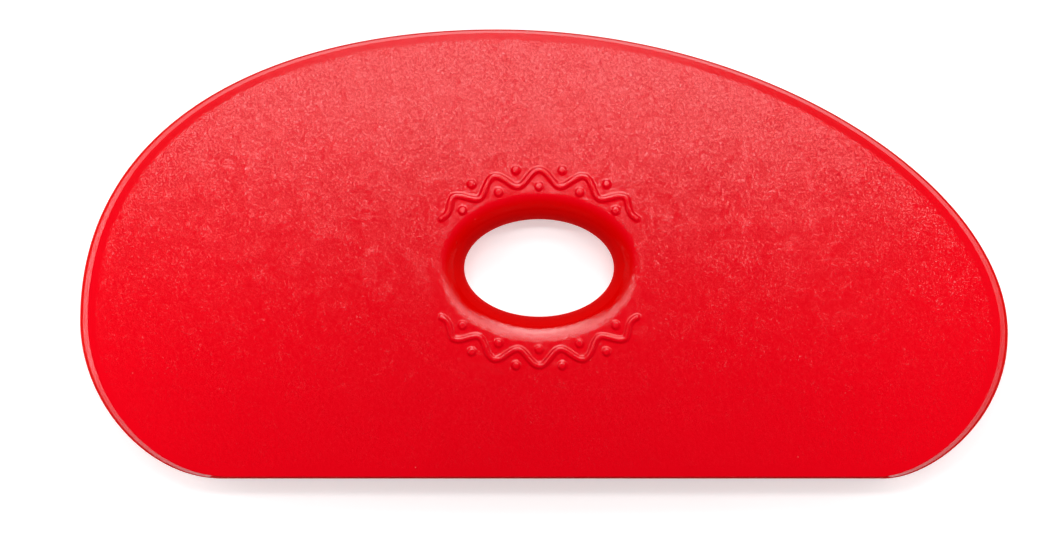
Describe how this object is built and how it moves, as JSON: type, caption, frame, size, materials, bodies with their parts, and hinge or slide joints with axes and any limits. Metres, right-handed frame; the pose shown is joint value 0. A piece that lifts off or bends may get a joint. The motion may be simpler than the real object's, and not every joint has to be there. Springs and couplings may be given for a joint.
{
  "type": "pottery rib",
  "caption": "Soft red pottery rib with a long straight edge, a curved back and an oval finger hole, for shaping and smoothing wet clay.",
  "frame": {"origin": "centre of the bounding box on the plane of the back face, which is the face the rib lies on", "axes": "+X along the straight working edge, +Y from the straight edge to the curved back, +Z out of the marked face"},
  "size_m": [0.105, 0.0508, 0.0062],
  "materials": {
    "polyurethane": "cast soft polyurethane, fine satin grain on the face, smooth at the rim and the lip of the hole"
  },
  "bodies": {
    "root": {"rib": "polyurethane"}
  },
  "joints": []
}
